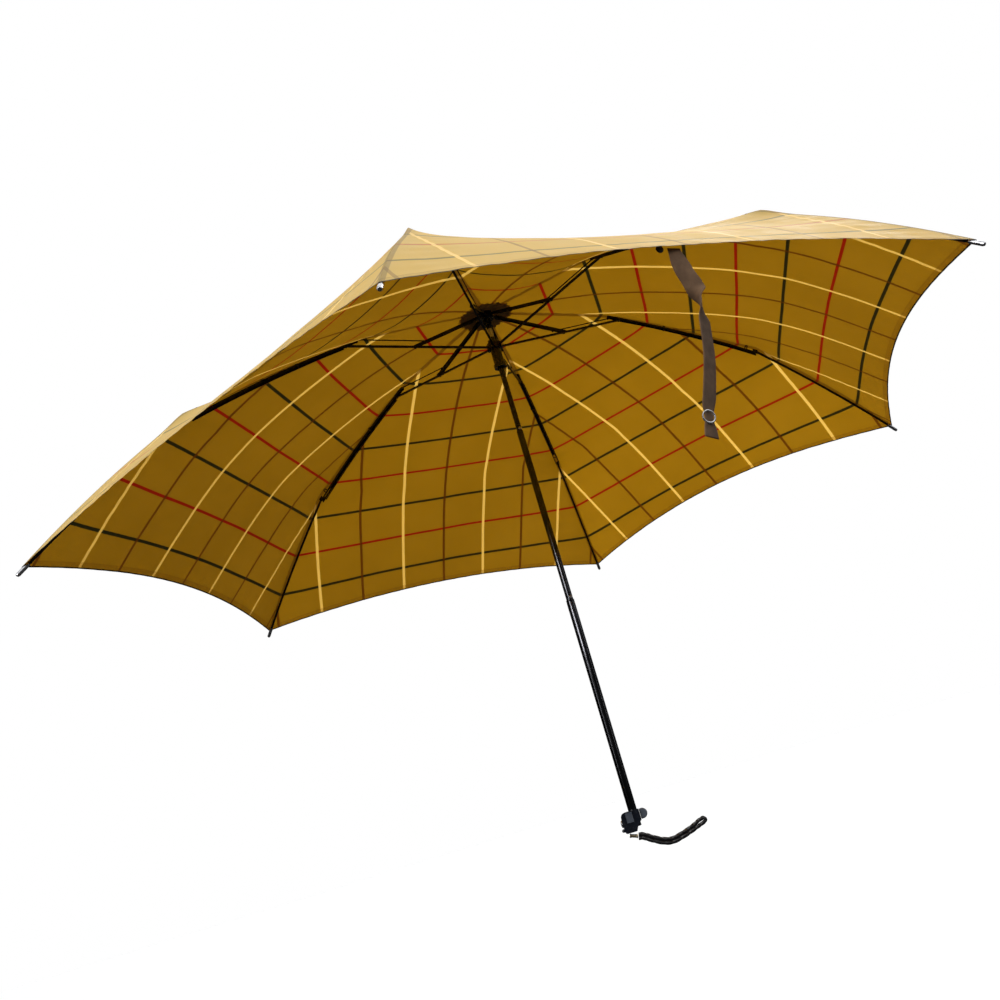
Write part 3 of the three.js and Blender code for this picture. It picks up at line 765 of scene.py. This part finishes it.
# The check's dark lines drawn weaker on the outside are painted light: a washout of the front-lit outside.
outside_painted_washout = 0.62                      # how much weaker the check's dark lines are on the outside
cloth_clear = 0.46                       # the share of light that goes through the cloth
yellow_clear = 0.14                      # and how much more of it through the yellow lines


def checked_cloth():
    """Polyester taffeta: the ground, the check, seams and hem, the weave, and light through it all. The
    inside's ground is a darker copy as painted shade; the outside's paler ground and fainter dark lines are
    painted front light.
    """
    made, tree, shader, place = new_material("checked_cloth")
    flat = node_of(tree, "ShaderNodeUVMap", uv_map="UVMap").outputs[0]
    parts = node_of(tree, "ShaderNodeSeparateXYZ", {"Vector": flat}).outputs
    edges = node_of(tree, "ShaderNodeUVMap", uv_map="edges").outputs[0]
    from_edge = node_of(tree, "ShaderNodeSeparateXYZ", {"Vector": edges}).outputs
    facing = node_of(tree, "ShaderNodeTexCoord").outputs["Normal"]
    facing_up = node_of(tree, "ShaderNodeSeparateXYZ", {"Vector": facing}).outputs[2]
    # The side of the cloth that faces up gets the painted-light ground and washed-out lines. The side that
    # faces down gets the painted-shade ground.
    outside = maths(tree, "GREATER_THAN", facing_up, 0.0)
    painted_washout_line_strength = maths(tree, "SUBTRACT", 1.0, maths(tree, "MULTIPLY", outside, outside_painted_washout))
    wander = maths(tree, "MULTIPLY", maths(tree, "SUBTRACT", grain(tree, flat, 9.0, 1.0), 0.5), 2.4 * mm)
    side = maths(tree, "ADD", parts[0], wander)
    up = maths(tree, "ADD", parts[1], wander)
    green = line_mask(tree, up, 2 * check_across, tips_to_first_line, 3.5 * mm)
    red = line_mask(tree, up, 2 * check_across, tips_to_first_line + check_across, 3.2 * mm)
    brown = line_mask(tree, side, 2 * check_down, 0.0, 3.2 * mm)
    yellow = line_mask(tree, side, 2 * check_down, check_down, 3.6 * mm)
    seam = soft_step(tree, 3.2 * mm, from_edge[0])
    hem = soft_step(tree, 7.0 * mm, from_edge[1])
    binding = soft_step(tree, 1.4 * mm, from_edge[1])
    from_stitches = maths(tree, "ABSOLUTE", maths(tree, "SUBTRACT", from_edge[1], 6.0 * mm))
    stitches = soft_step(tree, 0.35 * mm, from_stitches)
    shade = ranged(tree, grain(tree, flat, 7.0), 0.0, 1.0)
    # inner is the cloth's ground darkened as painted shade for the inside, outer the same ground lightened as
    # painted light for the outside.
    inner = between(tree, shade, (0.46, 0.33, 0.06, 1), (0.53, 0.385, 0.08, 1))
    outer = between(tree, shade, (0.75, 0.575, 0.18, 1), (0.80, 0.63, 0.23, 1))
    ground = between(tree, outside, inner, outer)
    colour = layered(tree, ground, (
        (maths(tree, "MULTIPLY", green, painted_washout_line_strength), 0.93, (0.035, 0.04, 0.025, 1)),
        (maths(tree, "MULTIPLY", red, painted_washout_line_strength), 0.93, (0.40, 0.02, 0.012, 1)),
        (maths(tree, "MULTIPLY", brown, painted_washout_line_strength), 0.72, (0.24, 0.09, 0.03, 1)),
        (yellow, 0.95, (0.92, 0.76, 0.40, 1)),
        (seam, 0.35, (0.25, 0.14, 0.05, 1)),
        (stitches, 0.5, (0.3, 0.17, 0.06, 1)),
        (binding, 0.92, (0.035, 0.022, 0.012, 1)),
    ))
    tree.links.new(colour, shader.inputs["Base Color"])
    shader.inputs["Sheen Weight"].default_value = 0.12
    tree.links.new(ranged(tree, grain(tree, flat, 40.0), 0.55, 0.75), shader.inputs["Roughness"])
    warp = maths(tree, "PINGPONG", parts[0], 0.35 * mm)
    weft = maths(tree, "PINGPONG", parts[1], 0.35 * mm)
    weave = maths(tree, "MULTIPLY", maths(tree, "ADD", warp, weft), 1 / (0.7 * mm))
    creases = grain(tree, flat, 55.0, 5.0, (1, 0.35, 1))
    height = maths(tree, "ADD", maths(tree, "MULTIPLY", weave, 0.12), creases)
    relief(tree, shader, height, 0.5 * mm, 0.8)
    through = layered(tree, between(tree, shade, (0.71, 0.50, 0.06, 1), (0.76, 0.545, 0.08, 1)), (
        (green, 0.93, (0.13, 0.14, 0.07, 1)),
        (red, 0.93, (0.70, 0.08, 0.03, 1)),
        (brown, 0.85, (0.42, 0.21, 0.03, 1)),
        (yellow, 0.95, (0.96, 0.78, 0.36, 1)),
        (seam, 0.6, (0.36, 0.2, 0.03, 1)),
        (hem, 0.3, (0.5, 0.3, 0.03, 1)),
        (binding, 0.95, (0.03, 0.02, 0.01, 1)),
    ))
    glow = node_of(tree, "ShaderNodeBsdfTranslucent", {"Color": through})
    clear = maths(tree, "ADD", cloth_clear, maths(tree, "MULTIPLY", yellow, yellow_clear))
    mix = node_of(tree, "ShaderNodeMixShader", {0: clear, 1: shader.outputs[0], 2: glow.outputs[0]})
    tree.links.new(mix.outputs[0], tree.nodes["Material Output"].inputs["Surface"])
    return made


canopy_material = checked_cloth()
panels = [panel_mesh(i) for i in range(rib_count)]
closed_width = 0.075                     # what is left of a panel's width when the ribs are shut
closed_crown = 0.13                      # and of the crown's reach
middle_sideways, middle_inwards = 0.9795, 0.2013
outer_sideways, outer_inwards = 0.940, 0.341


def cloth_piece(bm, name, body, axis, keep):
    """One stretch of a panel, with the cloth's thickness.

    The crown's slanted inner wedges fill less than least_share of their rectangle, so the area they
    are given is about a tenth more than they have.
    """
    area = sum(f.calc_area() for f in bm.faces)
    uv = bm.loops.layers.uv["UVMap"]
    flat = [tuple(loop[uv].uv) for face in bm.faces for loop in face.loops]
    made = piece(bm, name, canopy_material, body)
    skin = made.modifiers.new("thickness", "SOLIDIFY")
    skin.thickness = cloth_thickness
    skin.offset = 1.0
    skin.use_rim = False
    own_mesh(made)
    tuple(axis)
    return made


def half_panels():
    """Cuts every panel down its middle and across at the elbow and the fold, and sets each piece on a rib."""
    made = []
    for i in range(rib_count):
        for side, panel in ((1, panels[i]), (-1, panels[(i - 1) % rib_count])):
            turn = rib_turns[i]
            middle = turn @ Matrix.Rotation(side * math.pi / rib_count, 4, "Z")
            towards_rib = middle @ Vector((0, -side, 0))
            cut = turn @ middle_line
            bunch = turn @ Vector((-rib_normal.x * middle_inwards, side * middle_sideways,
                                   -rib_normal.z * middle_inwards))
            outer_normal = Vector((-outer_line.z, 0, outer_line.x))
            outer_bunch = turn @ (Vector((0, side * outer_sideways, 0)) - outer_normal * outer_inwards)
            stretches = (
                ("middle", f"middle_rib_{i + 1}", [(cloth_shoulder, cut), (cloth_fold, -cut)],
                 bunch, cloth_shoulder, closed_width),
                ("outer", f"outer_rib_{i + 1}", [(cloth_fold, cut)], outer_bunch, cloth_fold, closed_width),
            )
            label = "left" if side > 0 else "right"
            for part, body, cuts, axis, anchor, keep in stretches:
                bm = panel.copy()
                kept_side(bm, Vector((0, 0, 0)), towards_rib)
                for place, normal in cuts:
                    kept_side(bm, turn @ place, normal)
                name = f"canopy_{part}_{i + 1}_{label}"
                made.append(cloth_piece(bm, name, body, axis, keep))
            for wedge in (0, 1):
                bm = panel.copy()
                kept_side(bm, turn @ cloth_shoulder, -cut)
                for edge, keep_side in ((wedge, 1), (wedge + 1, -1)):
                    angle = side * edge * math.pi / rib_count / 2
                    normal = turn @ Matrix.Rotation(angle, 4, "Z") @ Vector((0, side * keep_side, 0))
                    kept_side(bm, Vector((0, 0, 0)), normal)
                bisector = turn @ Matrix.Rotation(side * (wedge + 0.5) * math.pi / rib_count / 2, 4, "Z")
                slope = (cloth_shoulder - cloth_crown).normalized()
                made.append(cloth_piece(bm, f"canopy_crown_{i + 1}_{label}_{'ab'[wedge]}", "top_tube",
                                        bisector @ slope, closed_crown))
    return made


canopy_pieces = half_panels()
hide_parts("canopy")


# ---- crown patch ----
# A rosette of brown cloth with a pinked edge, laid under the crown to keep the notch off the canopy.
def brown_fabric(name, dark, light):
    made, tree, shader, place = new_material(name)
    shade = between(tree, ranged(tree, grain(tree, place, 120.0), 0.0, 1.0), dark, light)
    tree.links.new(shade, shader.inputs["Base Color"])
    shader.inputs["Roughness"].default_value = 0.85
    shader.inputs["Sheen Weight"].default_value = 0.08
    fine = grain(tree, place, 1600.0, 2.0)
    relief(tree, shader, fine, 0.12 * mm)
    return made


# The rosette's brown is brightened well past the cloth's own colour: a painted glow that stands in for light
# passing through it under the crown.
rosette_cloth_painted_glow = brown_fabric("rosette_cloth_painted_glow", (0.34, 0.185, 0.05, 1), (0.50, 0.29, 0.09, 1))
rosette_inner = 9.3 * mm
rosette_outer = 31 * mm
pinks = 30


def rosette():
    slope = (cloth_shoulder - cloth_crown).z / (cloth_shoulder - cloth_crown).x

    def place(u, v):
        ragged = 1 + 0.5 * noise.noise(Vector((9 * math.cos(math.tau * u), 9 * math.sin(math.tau * u), 0)))
        tooth = 3.2 * mm * ragged * abs((u * pinks) % 1 - 0.5) * 2 * v ** 3
        out = rosette_inner + (rosette_outer - rosette_inner) * v - tooth
        fold_wave = 0.7 * mm * math.sin(u * math.tau * 12) * v
        height = cloth_crown.z + slope * out - 1.4 * mm + fold_wave - 0.8 * mm * v
        return Vector((out * math.cos(math.tau * u), out * math.sin(math.tau * u), height))

    made = piece(wrapped(pinks * 4, 12, place), "rosette", rosette_cloth_painted_glow, "top_tube")
    skin = made.modifiers.new("thickness", "SOLIDIFY")
    skin.thickness = 0.4 * mm
    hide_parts("crown_patch")
    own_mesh(made)


rosette()


# ---- closing strap ----
# A strip of the canopy's own cloth in brown, folded double and sewn to the hem. It twists once below
# the hem, and a bright ring is held in the doubled cloth near its lower end.
strap_cloth = brown_fabric("strap_cloth", (0.10, 0.052, 0.024, 1), (0.165, 0.092, 0.045, 1))
strap_low, strap_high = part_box("strap")
strap_width = 14 * mm
strap_length = 150 * mm
strap_thick = 0.7 * mm
strap_lean = math.radians(9)             # how far its lower end swings towards -X
strap_top = Vector((
    strap_high.x - strap_width / 2 * math.cos(strap_lean),
    (strap_low.y + strap_high.y) / 2,
    strap_high.z - strap_width / 2 * math.sin(strap_lean),
))
strap_sway = [(0, 0), (5, 18), (10, 29), (13.5, 43), (13, 62), (11, 88), (5, 117), (1.5, 130), (0, 150)]
strap_twist = ((0, -5), (0.1, -15), (0.2, -30), (0.29, -115), (0.4, -150), (1, -158))


def strap_angle(v):
    """How far the strap has turned about its own length, in radians."""
    for (above, first), (below, second) in zip(strap_twist, strap_twist[1:]):
        if v <= below:
            share = (v - above) / (below - above)
            return math.radians(first + (second - first) * share * share * (3 - 2 * share))
    return math.radians(strap_twist[-1][1])


strap_rows = 14
strap_line = smooth_line([Vector((side * mm, 0, -down * mm)) for side, down in strap_sway], strap_rows)


def strap_shape(u, v):
    """A flat ribbon down from the hem, turned about its own length and swayed a little."""
    row = round(v * (len(strap_line) - 1))
    share = -strap_line[row].z / strap_length
    gather = 1 - 0.38 * math.exp(-((share - 0.9) / 0.05) ** 2) - 0.3 * math.exp(-(share / 0.06) ** 2)
    angle = math.tau * u
    x = strap_width / 2 * gather * max(-1, min(1, 1.25 * math.cos(angle)))
    y = strap_thick / 2 * max(-1, min(1, 1.6 * math.sin(angle)))
    twist = strap_angle(share)
    across = Vector((x * math.cos(twist) - y * math.sin(twist), x * math.sin(twist) + y * math.cos(twist), 0))
    return strap_top + Matrix.Rotation(strap_lean, 3, "Y") @ (strap_line[row] + across)


strap = piece(closed_ends(wrapped(32, len(strap_line) - 1, strap_shape)), "strap_ribbon", strap_cloth,
              "strap")
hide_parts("strap")
eased("strap_ring", nickel, 0.01 * mm)
snap = spun(domed(3.0 * mm, 1.4 * mm), 24, Matrix.Rotation(math.radians(90), 4, "X"),
            Vector((strap_top.x - 12 * mm, strap_low.y, strap_high.z - 1.5 * mm)))
piece(snap, "strap_snap", black_steel, "strap")


# ---- floor and light ----
# Pale floor below the hand that holds the umbrella, a soft sky all round and one large key light.
floor_half_size = 40.0
floor_height = -0.35
floor_mesh = bmesh.new()
bmesh.ops.create_grid(floor_mesh, x_segments=1, y_segments=1, size=floor_half_size)
bmesh.ops.translate(floor_mesh, vec=(0, 0, floor_height), verts=floor_mesh.verts)
floor_data = bpy.data.meshes.new("floor")
floor_mesh.to_mesh(floor_data)
floor_mesh.free()
floor = bpy.data.objects.new("floor", floor_data)
bpy.context.scene.collection.objects.link(floor)
floor_paint, _, floor_shader, _ = new_material("floor")
floor_shader.inputs["Base Color"].default_value = (1.0, 0.995, 0.985, 1)
floor_shader.inputs["Roughness"].default_value = 0.9
floor_shader.inputs["Emission Color"].default_value = (1, 1, 1, 1)
floor_shader.inputs["Emission Strength"].default_value = 0.08
floor_data.materials.append(floor_paint)
floor.visible_diffuse = False
floor.visible_glossy = False

world = bpy.data.worlds.new("sky")
bpy.context.scene.world = world
world.use_nodes = True
sky = world.node_tree
seen = sky.nodes["Background"]
seen.inputs["Color"].default_value = (1, 1, 1, 1)
seen.inputs["Strength"].default_value = 1.0
towards = node_of(sky, "ShaderNodeSeparateXYZ",
                  {"Vector": node_of(sky, "ShaderNodeTexCoord").outputs["Generated"]}).outputs
overhead = maths(sky, "MULTIPLY", ranged(sky, towards[2], 0.03, 1.25, 0.2, 0.7),
                 maths(sky, "ADD", 1.0, maths(sky, "MULTIPLY", towards[0], 0.6)))
lighting = node_of(sky, "ShaderNodeBackground", {"Color": (0.98, 0.99, 1.0, 1), "Strength": overhead})
rays = node_of(sky, "ShaderNodeLightPath")
choice = node_of(sky, "ShaderNodeMixShader", {0: rays.outputs["Is Camera Ray"], 1: lighting.outputs[0],
                                              2: seen.outputs[0]})
sky.links.new(choice.outputs[0], sky.nodes["World Output"].inputs["Surface"])


def area_light(name, place, target, size, power, colour=(1, 1, 1), tall=None):
    """A soft round light, or a strip of a given height."""
    data = bpy.data.lights.new(name, "AREA")
    data.shape = "RECTANGLE" if tall else "DISK"
    data.size = size
    data.size_y = tall or size
    data.energy = power
    data.color = colour
    light = bpy.data.objects.new(name, data)
    light.location = place
    light.rotation_mode = "QUATERNION"
    light.rotation_quaternion = (Vector(target) - Vector(place)).to_track_quat("-Z", "Y")
    bpy.context.scene.collection.objects.link(light)


area_light("key", (1.9, 1.1, 2.0), (0, 0, 0.45), 1.2, 60, (1.0, 0.98, 0.94))
area_light("left", (-2.0, -1.8, 1.2), (0, 0, 0.5), 0.9, 34)
area_light("strip", (-2.1, -0.8, 0.4), (0, 0, 0.4), 0.3, 4.5, tall=1.2)
area_light("rim", (1.5, -1.7, 0.4), (0, 0, 0.4), 0.12, 1.5, tall=1.2)
bpy.context.scene.view_settings.view_transform = "Standard"
